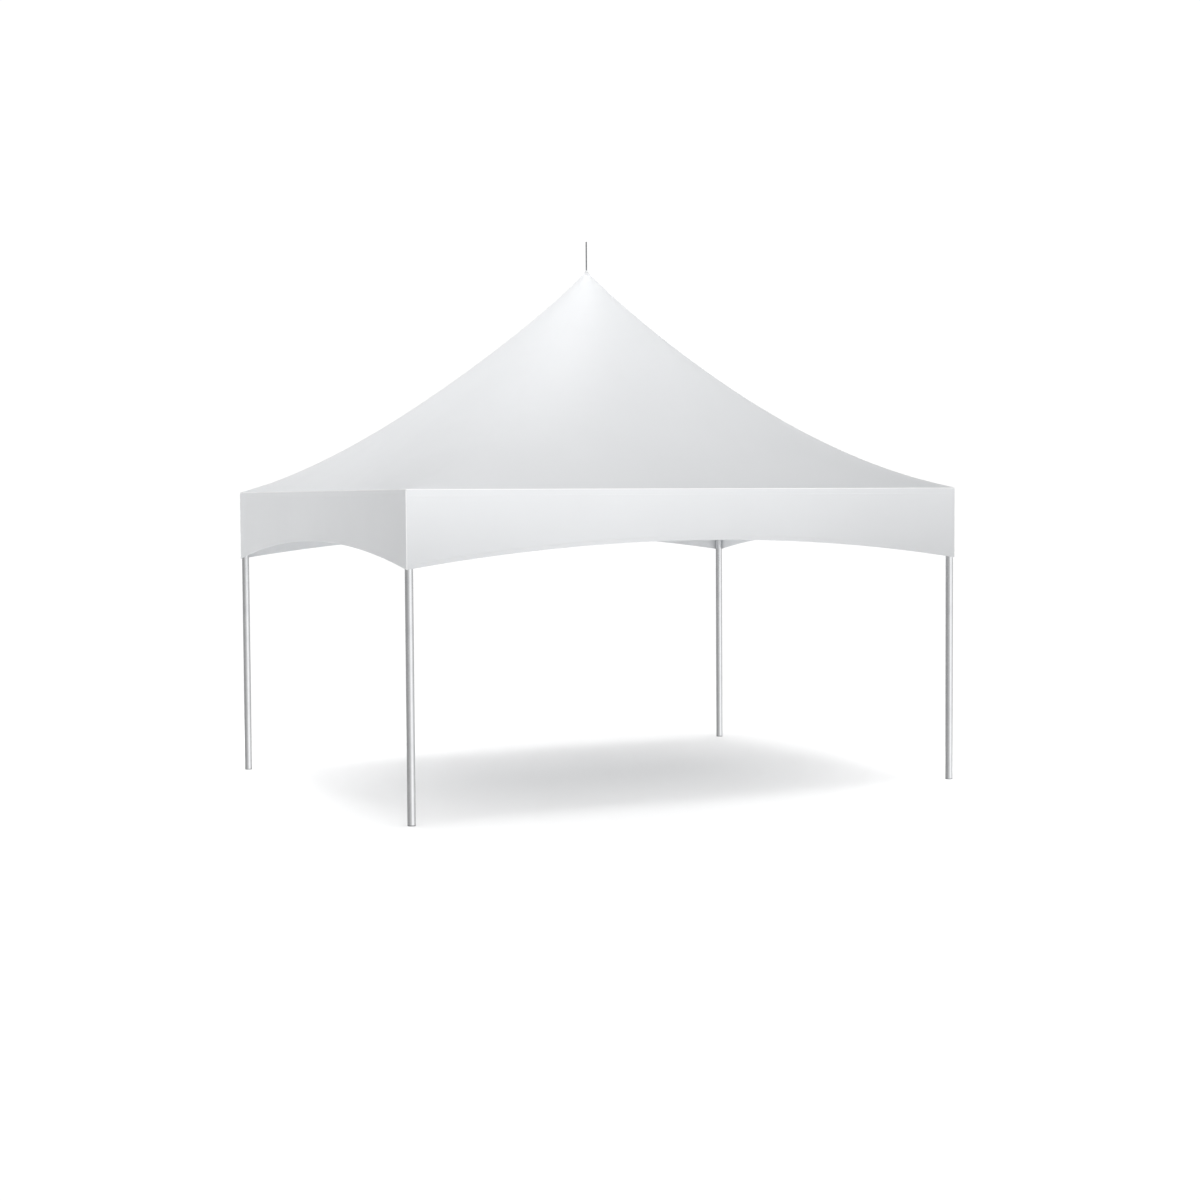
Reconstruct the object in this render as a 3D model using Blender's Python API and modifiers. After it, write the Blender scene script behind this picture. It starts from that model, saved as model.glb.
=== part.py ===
"""High-peak marquee tent, 16 ft by 12 ft, on four legs.

A tube frame stands on four legs. Four cables run from its corners to the foot of a short mast,
which hangs over the middle of the floor and pushes the fabric roof up to its peak.
Metres, +Z up. The origin is on the ground, under the peak; the wide front faces -Y.
"""

import math

import bmesh
import bpy
from mathutils import Matrix, Vector

# Driving dimensions.
LEG_SPACING_X = 4.88
LEG_SPACING_Y = 3.66
EAVE_HEIGHT = 2.44
PEAK_HEIGHT = 4.30
SPIRE_TIP_HEIGHT = 4.55
ARCH_HEIGHT_MIDDLE = 2.04
ARCH_HEIGHT_CORNER = 1.86

# Frame tubes and what slides into them.
TUBE_RADIUS = 0.030
TUBE_WALL = 0.003
TUBE_SIDES = 24
SEAT_GAP = 0.0003
SPIGOT_RADIUS = TUBE_RADIUS - TUBE_WALL - SEAT_GAP
SPIGOT_LENGTH = 0.150
BLOCK_HALF = TUBE_RADIUS + 0.0005
BLOCK_BEVEL = 0.003
FITTING_ARM = 0.110
FITTING_BORE = 0.021
SPLICE_COLLAR = 0.040
SPLICE_BORE = 0.022
FOOT_FLANGE = 0.006
FOOT_PLUG_LENGTH = 0.050

# Fabric. It lies against the corner blocks, so its outer face stands FABRIC_OFFSET off the legs' centres.
FABRIC_DROP = 0.003
VALANCE_THICKNESS = 0.002
FABRIC_OFFSET = BLOCK_HALF + SEAT_GAP + VALANCE_THICKNESS
EAVE_TUBE_HEIGHT = EAVE_HEIGHT - FABRIC_DROP - SEAT_GAP - BLOCK_HALF
ROOF_HALF_X = LEG_SPACING_X / 2 + FABRIC_OFFSET
ROOF_HALF_Y = LEG_SPACING_Y / 2 + FABRIC_OFFSET
ROOF_STEEPENING = 0.65
ROOF_BULGE_POWER = 1.3
ROOF_TIP_POWER = 6
ROOF_TIP_SHARE = 0.005
ROOF_ROWS = 14
ROOF_COLUMNS = 10
ARCH_STEPS = 24

# Mast, from the hub at its foot to the spire.
MAST_FOOT_HEIGHT = 2.200
MAST_TOP_HEIGHT = 4.180
HUB_RADIUS = 0.042
HUB_BOTTOM_HEIGHT = 2.070
HEAD_TIP_RADIUS = 0.009
HEAD_STEEPER = 1.1
SPIRE_RADIUS = 0.006
SPIRE_SOCKET_DEPTH = 0.060
CAP_RADIUS = 0.017
CAP_TOP_HEIGHT = 4.308

# Cables, their lugs and turnbuckles.
LUG_THICKNESS = 0.008
LUG_HEIGHT = 0.056
PIN_RADIUS = 0.006
CORNER_PIN_REACH = 0.080
CORNER_PIN_HEIGHT = EAVE_TUBE_HEIGHT - 0.045
HUB_PIN_REACH = 0.082
HUB_PIN_HEIGHT = 2.135
LUG_END_MARGIN = 0.016
FORK_BACK = 0.014
FORK_SLOT = 0.030
FORK_LENGTH = 0.048
FORK_WIDTH = 0.022
FORK_HEIGHT = 0.026
ROPE_RADIUS = 0.003
SLEEVE_RADIUS = 0.0075
SLEEVE_LENGTH = 0.070
STUD_RADIUS = 0.006
STUD_SHOWING = 0.045
STUD_INSIDE = 0.070
TURNBUCKLE_RADIUS = 0.012
TURNBUCKLE_LENGTH = 0.200
SMALL_SIDES = 16

FRONT, BACK = -1, 1
LEFT, RIGHT = -1, 1
SIDE_NAMES = {FRONT: "front", BACK: "back"}
HAND_NAMES = {LEFT: "left", RIGHT: "right"}
OUTWARD = {
    "front": Vector((0, FRONT, 0)),
    "back": Vector((0, BACK, 0)),
    "left": Vector((LEFT, 0, 0)),
    "right": Vector((RIGHT, 0, 0)),
}
CORNERS = [(hand, side) for side in (FRONT, BACK) for hand in (LEFT, RIGHT)]


def corner_name(hand, side):
    return f"{SIDE_NAMES[side]}_{HAND_NAMES[hand]}"


def clear_scene():
    for old in list(bpy.data.objects):
        bpy.data.objects.remove(old)


def make_collection(name):
    collection = bpy.data.collections.new(name)
    bpy.context.scene.collection.children.link(collection)
    return collection


def make_material(name, colour, roughness, metallic=0.0):
    material = bpy.data.materials.new(name)
    material.use_nodes = True
    shader = material.node_tree.nodes["Principled BSDF"]
    shader.inputs["Base Color"].default_value = (*colour, 1.0)
    shader.inputs["Roughness"].default_value = roughness
    shader.inputs["Metallic"].default_value = metallic
    return material


clear_scene()
PARTS = make_collection("marquee_tent")
CUTTERS = make_collection("cutters")
ALUMINIUM = make_material("anodised_aluminium", (0.72, 0.73, 0.74), 0.35, 1.0)
STEEL = make_material("galvanised_steel", (0.62, 0.64, 0.66), 0.45, 1.0)
ROPE = make_material("wire_rope", (0.55, 0.56, 0.58), 0.40, 1.0)
FABRIC = make_material("white_canopy_fabric", (0.86, 0.87, 0.88), 0.55)
PLUG = make_material("grey_end_plug", (0.35, 0.36, 0.37), 0.60)
CAP = make_material("white_peak_cap", (0.85, 0.86, 0.86), 0.50)


def add_object(name, mesh, material=None, matrix=None):
    """Links the mesh as a part, or as a hidden helper if it has no material."""
    obj = bpy.data.objects.new(name, mesh)
    if matrix is not None:
        obj.matrix_world = matrix
    if material is None:
        obj.hide_render = True
        obj.display_type = "WIRE"
        CUTTERS.objects.link(obj)
    else:
        mesh.materials.append(material)
        PARTS.objects.link(obj)
    return obj


def mesh_from(builder, name):
    mesh = bpy.data.meshes.new(name)
    builder.to_mesh(mesh)
    builder.free()
    return mesh


def place(origin, direction):
    """The matrix that puts a shape's own +Z along direction, starting at origin."""
    turn = Vector(direction).to_track_quat("Z", "Y").to_matrix().to_4x4()
    return Matrix.Translation(origin) @ turn


def turned(name, profile, sides, material=None, matrix=None, closed=False):
    """A turned shape about its own Z. The profile holds (radius, height) points and runs down its outer side."""
    builder = bmesh.new()
    points = [builder.verts.new((radius, 0.0, height)) for radius, height in profile]
    ends = points + points[:1] if closed else points
    for start, end in zip(ends, ends[1:]):
        builder.edges.new((start, end))
    obj = add_object(name, mesh_from(builder, name), material, matrix)
    screw = obj.modifiers.new("turn", "SCREW")
    screw.steps = screw.render_steps = sides
    screw.use_merge_vertices = True
    screw.merge_threshold = 0.00001
    screw.use_smooth_shade = False
    return obj


def pipe(name, origin, direction, length, outer, inner, sides, material=None):
    profile = [(outer, length), (outer, 0.0), (inner, 0.0), (inner, length)]
    return turned(name, profile, sides, material, place(origin, direction), closed=True)


def rod_profile(radius, low, high):
    return [(0.0, high), (radius, high), (radius, low), (0.0, low)]


def rod(name, origin, direction, length, radius, sides, material=None):
    return turned(name, rod_profile(radius, 0.0, length), sides, material, place(origin, direction))


def box(name, low, high, material=None, matrix=None):
    builder = bmesh.new()
    bmesh.ops.create_cube(builder, size=1.0)
    low, high = Vector(low), Vector(high)
    for vert in builder.verts:
        vert.co = (low + high) / 2 + Vector(a * b for a, b in zip(vert.co, high - low))
    return add_object(name, mesh_from(builder, name), material, matrix)


def combine(obj, other, operation):
    boolean = obj.modifiers.new(other.name, "BOOLEAN")
    boolean.operation = operation
    boolean.solver = "EXACT"
    boolean.object = other


def join(obj, *others):
    for other in others:
        combine(obj, other, "UNION")


def cut(obj, *others):
    for other in others:
        combine(obj, other, "DIFFERENCE")


def corner_point(hand, side, height):
    return Vector((hand * LEG_SPACING_X / 2, side * LEG_SPACING_Y / 2, height))


def inward(hand, side):
    """The level direction from a corner to the mast."""
    return -corner_point(hand, side, 0.0).normalized()


def lug(name, axis_point, direction, reach):
    """A vertical plate that stands out from axis_point, and the cutter for its pin hole."""
    matrix = Matrix.Translation(axis_point) @ direction.to_track_quat("X", "Z").to_matrix().to_4x4()
    half = LUG_THICKNESS / 2
    plate = box(
        f"{name}_plate",
        (0.0, -half, -LUG_HEIGHT / 2),
        (reach + LUG_END_MARGIN, half, LUG_HEIGHT / 2),
        matrix=matrix,
    )
    across = direction.cross(Vector((0.0, 0.0, 1.0)))
    start = axis_point + direction * reach - across * LUG_THICKNESS
    hole = rod(f"{name}_hole", start, across, 2 * LUG_THICKNESS, PIN_RADIUS + SEAT_GAP, SMALL_SIDES)
    return plate, hole


def make_legs():
    """Leg tubes, each on a plug that closes its foot and stands flat on the ground."""
    top = EAVE_TUBE_HEIGHT - FITTING_ARM - SEAT_GAP
    low = FOOT_FLANGE + SEAT_GAP
    plug_profile = [
        (0.0, FOOT_PLUG_LENGTH),
        (SPIGOT_RADIUS, FOOT_PLUG_LENGTH),
        (SPIGOT_RADIUS, FOOT_FLANGE),
        (TUBE_RADIUS, FOOT_FLANGE),
        (TUBE_RADIUS, 0.0),
        (0.0, 0.0),
    ]
    for hand, side in CORNERS:
        where = corner_name(hand, side)
        pipe(
            f"leg_{where}",
            corner_point(hand, side, low),
            (0, 0, 1),
            top - low,
            TUBE_RADIUS,
            TUBE_RADIUS - TUBE_WALL,
            TUBE_SIDES,
            ALUMINIUM,
        )
        ground = place(corner_point(hand, side, 0.0), (0, 0, 1))
        turned(f"foot_plug_{where}", plug_profile, TUBE_SIDES, PLUG, ground)


def make_corner_fitting(hand, side):
    """A block with three arms, each ending in a spigot inside a tube, and a lug for the cable."""
    name = f"corner_fitting_{corner_name(hand, side)}"
    centre = corner_point(hand, side, EAVE_TUBE_HEIGHT)
    half = Vector((BLOCK_HALF, BLOCK_HALF, BLOCK_HALF))
    fitting = box(name, -half, half, STEEL, Matrix.Translation(centre))
    edges = fitting.modifiers.new("edges", "BEVEL")
    edges.width = BLOCK_BEVEL
    edges.limit_method = "NONE"
    arm_profile = [
        (0.0, FITTING_ARM + SPIGOT_LENGTH),
        (SPIGOT_RADIUS, FITTING_ARM + SPIGOT_LENGTH),
        (SPIGOT_RADIUS, FITTING_ARM),
        (TUBE_RADIUS, FITTING_ARM),
        (TUBE_RADIUS, 0.0),
        (0.0, 0.0),
    ]
    directions = {"down": (0, 0, -1), "along_x": (-hand, 0, 0), "along_y": (0, -side, 0)}
    bores = []
    for label, direction in directions.items():
        join(fitting, turned(f"{name}_{label}", arm_profile, TUBE_SIDES, None, place(centre, direction)))
        mouth = centre + Vector(direction) * TUBE_RADIUS
        length = FITTING_ARM + SPIGOT_LENGTH
        bores.append(rod(f"{name}_{label}_bore", mouth, direction, length, FITTING_BORE, TUBE_SIDES))
    pin_axis = corner_point(hand, side, CORNER_PIN_HEIGHT)
    plate, hole = lug(name, pin_axis, inward(hand, side), CORNER_PIN_REACH)
    join(fitting, plate)
    cut(fitting, *bores, hole)


def make_eave_tubes():
    """One tube along each short side. Each long side has two, joined at a splice in the middle."""
    bore = TUBE_RADIUS - TUBE_WALL
    reach = FITTING_ARM + SEAT_GAP
    for hand in (LEFT, RIGHT):
        start = corner_point(hand, FRONT, EAVE_TUBE_HEIGHT) + Vector((0, reach, 0))
        length = LEG_SPACING_Y - 2 * reach
        pipe(
            f"eave_tube_{HAND_NAMES[hand]}", start, (0, 1, 0), length, TUBE_RADIUS, bore, TUBE_SIDES, ALUMINIUM
        )
    splice_half = SPLICE_COLLAR / 2
    spigot_end = splice_half + SPIGOT_LENGTH
    splice_profile = [
        (SPLICE_BORE, spigot_end),
        (SPIGOT_RADIUS, spigot_end),
        (SPIGOT_RADIUS, splice_half),
        (TUBE_RADIUS, splice_half),
        (TUBE_RADIUS, -splice_half),
        (SPIGOT_RADIUS, -splice_half),
        (SPIGOT_RADIUS, -spigot_end),
        (SPLICE_BORE, -spigot_end),
    ]
    for side in (FRONT, BACK):
        middle = Vector((0.0, side * LEG_SPACING_Y / 2, EAVE_TUBE_HEIGHT))
        turned(
            f"eave_splice_{SIDE_NAMES[side]}",
            splice_profile,
            TUBE_SIDES,
            STEEL,
            place(middle, (1, 0, 0)),
            closed=True,
        )
        for hand in (LEFT, RIGHT):
            start = corner_point(hand, side, EAVE_TUBE_HEIGHT) - Vector((hand * reach, 0, 0))
            length = LEG_SPACING_X / 2 - reach - splice_half - SEAT_GAP
            pipe(
                f"eave_tube_{corner_name(hand, side)}",
                start,
                (-hand, 0, 0),
                length,
                TUBE_RADIUS,
                bore,
                TUBE_SIDES,
                ALUMINIUM,
            )


def make_mast():
    """The hub with its four lugs, the mast tube, its head, the spire and the cap over the roof's tip."""
    hub_profile = [
        (0.0, MAST_FOOT_HEIGHT + SPIGOT_LENGTH),
        (SPIGOT_RADIUS, MAST_FOOT_HEIGHT + SPIGOT_LENGTH),
        (SPIGOT_RADIUS, MAST_FOOT_HEIGHT),
        (HUB_RADIUS, MAST_FOOT_HEIGHT),
        (HUB_RADIUS, HUB_BOTTOM_HEIGHT + 0.012),
        (HUB_RADIUS - 0.012, HUB_BOTTOM_HEIGHT),
        (0.0, HUB_BOTTOM_HEIGHT),
    ]
    hub = turned("mast_hub", hub_profile, TUBE_SIDES, STEEL)
    for hand, side in CORNERS:
        axis_point = Vector((0.0, 0.0, HUB_PIN_HEIGHT))
        name = f"mast_hub_{corner_name(hand, side)}"
        plate, hole = lug(name, axis_point, -inward(hand, side), HUB_PIN_REACH)
        join(hub, plate)
        cut(hub, hole)
    foot = MAST_FOOT_HEIGHT + SEAT_GAP
    pipe(
        "mast",
        (0, 0, foot),
        (0, 0, 1),
        MAST_TOP_HEIGHT - SEAT_GAP - foot,
        TUBE_RADIUS,
        TUBE_RADIUS - TUBE_WALL,
        TUBE_SIDES,
        ALUMINIUM,
    )
    socket = SPIRE_RADIUS + SEAT_GAP
    under_fabric = PEAK_HEIGHT - FABRIC_DROP - SEAT_GAP
    head_top = under_fabric - peak_slope() * HEAD_TIP_RADIUS
    head_shoulder = head_top - HEAD_STEEPER * peak_slope() * (TUBE_RADIUS - HEAD_TIP_RADIUS)
    socket_bottom = head_top - SPIRE_SOCKET_DEPTH
    head_profile = [
        (0.0, socket_bottom),
        (socket, socket_bottom),
        (socket, head_top),
        (HEAD_TIP_RADIUS, head_top),
        (TUBE_RADIUS, head_shoulder),
        (TUBE_RADIUS, MAST_TOP_HEIGHT),
        (SPIGOT_RADIUS, MAST_TOP_HEIGHT),
        (SPIGOT_RADIUS, MAST_TOP_HEIGHT - SPIGOT_LENGTH),
        (0.0, MAST_TOP_HEIGHT - SPIGOT_LENGTH),
    ]
    turned("mast_head", head_profile, TUBE_SIDES, ALUMINIUM)
    spire_low = socket_bottom + SEAT_GAP
    spire_profile = [
        (0.0, SPIRE_TIP_HEIGHT),
        (SPIRE_RADIUS - 0.002, SPIRE_TIP_HEIGHT),
        (SPIRE_RADIUS, SPIRE_TIP_HEIGHT - 0.002),
        (SPIRE_RADIUS, spire_low),
        (0.0, spire_low),
    ]
    turned("spire", spire_profile, SMALL_SIDES, STEEL)
    cap_climb = 1.0 - CAP_RADIUS / (math.sqrt(2) * mean_half())
    cap_low = roof_point(OUTWARD["left"], cap_climb, 0.0).z + 2 * SEAT_GAP
    cap_inside = cap_low + (CAP_RADIUS - socket) * peak_slope()
    cap_profile = [
        (socket, CAP_TOP_HEIGHT),
        (socket + 0.003, CAP_TOP_HEIGHT),
        (CAP_RADIUS, cap_low + 0.004),
        (CAP_RADIUS, cap_low),
        (socket, cap_inside),
    ]
    turned("peak_cap", cap_profile, TUBE_SIDES, CAP, closed=True)


def fork(name, pin, direction, shank_end, shank_radius, material):
    """A fork on a round shank. Its pin crosses at the point pin and its ears stand astride a lug."""
    matrix = Matrix.Translation(pin) @ direction.to_track_quat("X", "Z").to_matrix().to_4x4()
    body = box(
        name,
        (-FORK_BACK, -FORK_WIDTH / 2, -FORK_HEIGHT / 2),
        (FORK_LENGTH, FORK_WIDTH / 2, FORK_HEIGHT / 2),
        material,
        matrix,
    )
    slot_half = LUG_THICKNESS / 2 + SEAT_GAP
    slot = box(
        f"{name}_slot",
        (-2 * FORK_BACK, -slot_half, -FORK_HEIGHT),
        (FORK_SLOT, slot_half, FORK_HEIGHT),
        matrix=matrix,
    )
    across = direction.cross(Vector((0.0, 0.0, 1.0))).normalized()
    pin_half = FORK_WIDTH / 2 + 0.004
    bolt = rod(f"{name}_pin", pin - across * pin_half, across, 2 * pin_half, PIN_RADIUS, SMALL_SIDES)
    start = FORK_LENGTH - 0.005
    shank = rod(
        f"{name}_shank", pin + direction * start, direction, shank_end - start, shank_radius, SMALL_SIDES
    )
    cut(body, slot)
    join(body, bolt, shank)
    return body


def make_cable(hand, side):
    """A rope from a fork on the hub to a threaded stud, and the turnbuckle that draws it to the corner."""
    where = corner_name(hand, side)
    hub_pin = Vector((0.0, 0.0, HUB_PIN_HEIGHT)) - inward(hand, side) * HUB_PIN_REACH
    corner_pin = corner_point(hand, side, CORNER_PIN_HEIGHT) + inward(hand, side) * CORNER_PIN_REACH
    along = (corner_pin - hub_pin).normalized()
    span = (corner_pin - hub_pin).length
    buckle_far = span - FORK_LENGTH - STUD_SHOWING
    buckle_near = buckle_far - TURNBUCKLE_LENGTH
    stud_start = buckle_near - STUD_SHOWING
    cable = fork(f"cable_{where}", hub_pin, along, FORK_LENGTH + SLEEVE_LENGTH, SLEEVE_RADIUS, ROPE)
    stretches = {
        "rope": (FORK_LENGTH + SLEEVE_LENGTH - 0.005, stud_start - SLEEVE_LENGTH + 0.005, ROPE_RADIUS),
        "sleeve": (stud_start - SLEEVE_LENGTH, stud_start, SLEEVE_RADIUS),
        "stud": (stud_start - 0.005, buckle_near + STUD_INSIDE, STUD_RADIUS),
    }
    for label, (low, high, radius) in stretches.items():
        join(
            cable,
            rod(f"cable_{where}_{label}", hub_pin + along * low, along, high - low, radius, SMALL_SIDES),
        )
    pipe(
        f"turnbuckle_{where}",
        hub_pin + along * buckle_near,
        along,
        TURNBUCKLE_LENGTH,
        TURNBUCKLE_RADIUS,
        STUD_RADIUS + SEAT_GAP,
        SMALL_SIDES,
        STEEL,
    )
    jaw_shank = FORK_LENGTH + STUD_SHOWING + STUD_INSIDE
    fork(f"turnbuckle_jaw_{where}", corner_pin, -along, jaw_shank, STUD_RADIUS, STEEL)


def mean_half():
    return math.sqrt(ROOF_HALF_X * ROOF_HALF_Y)


def rise_share(climb):
    """Height gained, as a share of the roof's rise, at a share climb of the way in from the eave."""
    return (1 - ROOF_STEEPENING) * climb + ROOF_STEEPENING * climb**2


def peak_slope():
    """The roof's slope at its tip, where it is a round cone."""
    rise = PEAK_HEIGHT - EAVE_HEIGHT
    return (1 + ROOF_STEEPENING) * rise / (math.sqrt(2) * mean_half())


def roof_point(outward, climb, across):
    """A point of the panel on the side outward. climb goes from eave to tip, across from hip to hip.

    Each level section is a superellipse: a rectangle at the eave, an ellipse higher up, a circle at the tip.
    """
    tip_share = climb**ROOF_TIP_POWER
    half_x = ROOF_HALF_X * (1 - tip_share) + mean_half() * tip_share
    half_y = ROOF_HALF_Y * (1 - tip_share) + mean_half() * tip_share
    half_out, half_along = (half_x, half_y) if outward.x else (half_y, half_x)
    bulge = 1 + (math.sqrt(2) - 1) * (1 - (1 - climb) ** ROOF_BULGE_POWER)
    bow = 1.0
    if bulge > 1.0:
        power = math.log(2) / math.log(bulge)
        bow = (2 / (1 + abs(across) ** power)) ** (1 / power)
    along = Vector((-outward.y, outward.x, 0.0))
    height = EAVE_HEIGHT + (PEAK_HEIGHT - EAVE_HEIGHT) * rise_share(climb)
    level = (outward * half_out + along * half_along * across) * bow * (1 - climb)
    return level + Vector((0.0, 0.0, height))


def make_roof_panel(name, outward):
    """One fabric panel between two hips: a grid laid on the roof's surface, then given its thickness."""
    builder = bmesh.new()
    bmesh.ops.create_grid(builder, x_segments=ROOF_COLUMNS, y_segments=ROOF_ROWS, size=1.0)
    for vert in builder.verts:
        climb = (vert.co.y + 1) / 2 * (1 - ROOF_TIP_SHARE)
        inset = SEAT_GAP / (ROOF_HALF_Y * (1 - climb))
        across = math.sin(vert.co.x * math.pi / 2) * (1 - inset)
        vert.co = roof_point(outward, climb, across)
    lower = bmesh.ops.extrude_face_region(builder, geom=list(builder.faces), use_keep_orig=True)
    moved = [item for item in lower["geom"] if isinstance(item, bmesh.types.BMVert)]
    bmesh.ops.translate(builder, verts=moved, vec=(0.0, 0.0, -FABRIC_DROP))
    bmesh.ops.recalc_face_normals(builder, faces=builder.faces)
    add_object(name, mesh_from(builder, name), FABRIC)


def make_valance(name, half_width, centre, facing):
    """A flat band that hangs from the eave. Its lower edge is a parabola, drawn as one Bezier arch."""
    top = EAVE_HEIGHT - FABRIC_DROP - SEAT_GAP
    rise = ARCH_HEIGHT_MIDDLE - ARCH_HEIGHT_CORNER
    handle = Vector((half_width * 2 / 3, rise * 4 / 3, 0.0))
    low_left = Vector((-half_width, ARCH_HEIGHT_CORNER, 0.0))
    low_right = Vector((half_width, ARCH_HEIGHT_CORNER, 0.0))
    top_right = Vector((half_width, top, 0.0))
    top_left = Vector((-half_width, top, 0.0))
    curve = bpy.data.curves.new(name, "CURVE")
    curve.dimensions = "2D"
    curve.fill_mode = "BOTH"
    curve.extrude = VALANCE_THICKNESS / 2
    curve.resolution_u = ARCH_STEPS
    spline = curve.splines.new("BEZIER")
    spline.bezier_points.add(3)
    spline.use_cyclic_u = True
    corners = (low_left, low_right, top_right, top_left)
    for point, corner in zip(spline.bezier_points, corners):
        point.handle_left_type = point.handle_right_type = "FREE"
        point.co = point.handle_left = point.handle_right = corner
    spline.bezier_points[0].handle_right = low_left + handle
    spline.bezier_points[1].handle_left = low_right + Vector((-handle.x, handle.y, 0.0))
    for index in (1, 2, 3):
        spline.bezier_points[index].handle_right_type = "VECTOR"
        spline.bezier_points[(index + 1) % 4].handle_left_type = "VECTOR"
    upright = Matrix.Rotation(facing, 4, "Z") @ Matrix.Rotation(math.pi / 2, 4, "X")
    obj = bpy.data.objects.new(name, curve)
    obj.matrix_world = Matrix.Translation(centre) @ upright
    curve.materials.append(FABRIC)
    PARTS.objects.link(obj)


def make_valances():
    """The front and back bands run the full width, and the side bands fit between them."""
    middle = VALANCE_THICKNESS / 2
    for side in (FRONT, BACK):
        centre = Vector((0.0, side * (ROOF_HALF_Y - middle), 0.0))
        make_valance(f"valance_{SIDE_NAMES[side]}", ROOF_HALF_X, centre, 0.0)
    between = ROOF_HALF_Y - VALANCE_THICKNESS - SEAT_GAP
    for hand in (LEFT, RIGHT):
        centre = Vector((hand * (ROOF_HALF_X - middle), 0.0, 0.0))
        make_valance(f"valance_{HAND_NAMES[hand]}", between, centre, math.pi / 2)


make_legs()
for corner in CORNERS:
    make_corner_fitting(*corner)
    make_cable(*corner)
make_eave_tubes()
make_mast()
for side_name, outward_direction in OUTWARD.items():
    make_roof_panel(f"roof_panel_{side_name}", outward_direction)
make_valances()
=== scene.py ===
"""The looks of a white high-peak marquee tent, with its studio light, floor and camera.

Metres, +Z up. The origin is on the ground, under the peak; the wide front faces -Y.
"""

import math

import bpy
from mathutils import Matrix, Vector


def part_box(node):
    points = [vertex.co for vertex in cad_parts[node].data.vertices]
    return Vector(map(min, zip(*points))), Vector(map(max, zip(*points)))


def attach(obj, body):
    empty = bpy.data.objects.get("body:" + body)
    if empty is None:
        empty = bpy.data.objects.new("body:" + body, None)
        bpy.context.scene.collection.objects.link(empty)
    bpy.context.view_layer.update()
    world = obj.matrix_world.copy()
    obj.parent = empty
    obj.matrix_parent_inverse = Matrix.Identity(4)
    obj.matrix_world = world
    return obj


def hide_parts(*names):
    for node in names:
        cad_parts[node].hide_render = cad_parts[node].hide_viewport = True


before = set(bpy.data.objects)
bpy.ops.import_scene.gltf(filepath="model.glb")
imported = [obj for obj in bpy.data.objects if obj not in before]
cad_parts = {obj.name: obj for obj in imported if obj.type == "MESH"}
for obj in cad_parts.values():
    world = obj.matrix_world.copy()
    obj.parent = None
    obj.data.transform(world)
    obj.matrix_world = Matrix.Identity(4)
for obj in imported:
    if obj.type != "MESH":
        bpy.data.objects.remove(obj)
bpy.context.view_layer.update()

# Degrees between two faces above which their edge stays sharp, and the halvings that find a point.
SMOOTH = 35.0
ROUND_SMOOTH = 80.0
CANOPY_SMOOTH = 60.0
CLOTH_SMOOTH = 20.0
BISECTIONS = 24

# The canopy, as the frame has it.
HALF_X = 2.4728
HALF_Y = 1.8628
EAVE = 2.44
PEAK = 4.30
ARCH_MIDDLE = 2.04
ARCH_CORNER = 1.86
STEEPENING = 0.65
BULGE_POWER = 1.3
TIP_POWER = 6
MEAN_HALF = math.sqrt(HALF_X * HALF_Y)

# The cloth. Its cut is the four gores and valances laid out round the peak.
CLOTH = 0.002
WEAVE_PITCH = 0.0016
TOP_CLIMB = 0.995
CORNER_RADIUS = 0.012
CORNER_FADE = 0.02
FOLD_CLIMB = 0.0045
FOLD_DROP = 0.009
ROOF_ROWS = 76
ROOF_ROW_POWER = 1.25
FOLD_ROWS = 6
VALANCE_ROWS = 14
CORNER_STEPS = (0.0, 0.004, 0.008, 0.012, 0.02, 0.035, 0.06, 0.10, 0.16, 0.24)
COLUMN_WIDTH = 0.085

# Patches, seams and the hem. The more layers a patch has, the further it is raised over the others.
# Steps are those of its mesh, across and down. An inset is the change of climb, or the share of its
# height, from its upper and lower edges to its full lift.
PATCH_LIFT = 0.0006
HIP_LAYERS = 1
EAVE_LAYERS = 2
CORNER_LAYERS = 3
PEAK_LAYERS = 1
EDGE_LIFT = 0.0001
PATCH_EDGE = 0.0012
HIP_SEAM = 0.044
HIP_SEAM_TOP = 0.968
HIP_SEAM_STEPS = (6, 70)
HIP_SEAM_INSET = -0.0005
PEAK_PATCH_TOP = 0.990
PEAK_PATCH_CLIMB = 0.962
PEAK_PATCH_STEPS = (24, 16)
PEAK_PATCH_INSET = -0.0004
CORNER_PATCH = 0.30
CORNER_PATCH_CLIMB = 0.085
CORNER_PATCH_DIP = 0.80
CORNER_PATCH_STEPS = (28, 14)
CORNER_PATCH_INSET = 0.006
EAVE_BAND_CLIMB = 0.019
EAVE_BAND_DROP = 0.036
EAVE_BAND_FIRST_DROP = 0.004
EAVE_BAND_STEPS = 3
EAVE_BAND_INSET = -0.0003
HEM_WIDTH = 0.030
HEM_EDGE = 0.0007
# Painted shade: how much the base colour of the long valances is darkened towards the hem, per metre below
# the eave.
PAINTED_HEM_SHADE = 0.33
STITCH_PITCH = 0.0065
STITCH_LENGTH = 0.0042
STITCH_HEIGHT = 0.023
STITCH_WIDTH = 0.0006
STITCH_PROUD = 0.0004
STITCH_END_ROOM = 0.05
PIPING_RADIUS = 0.004
PIPING_SIDES = 12
PIPING_STEP = 0.04

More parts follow.
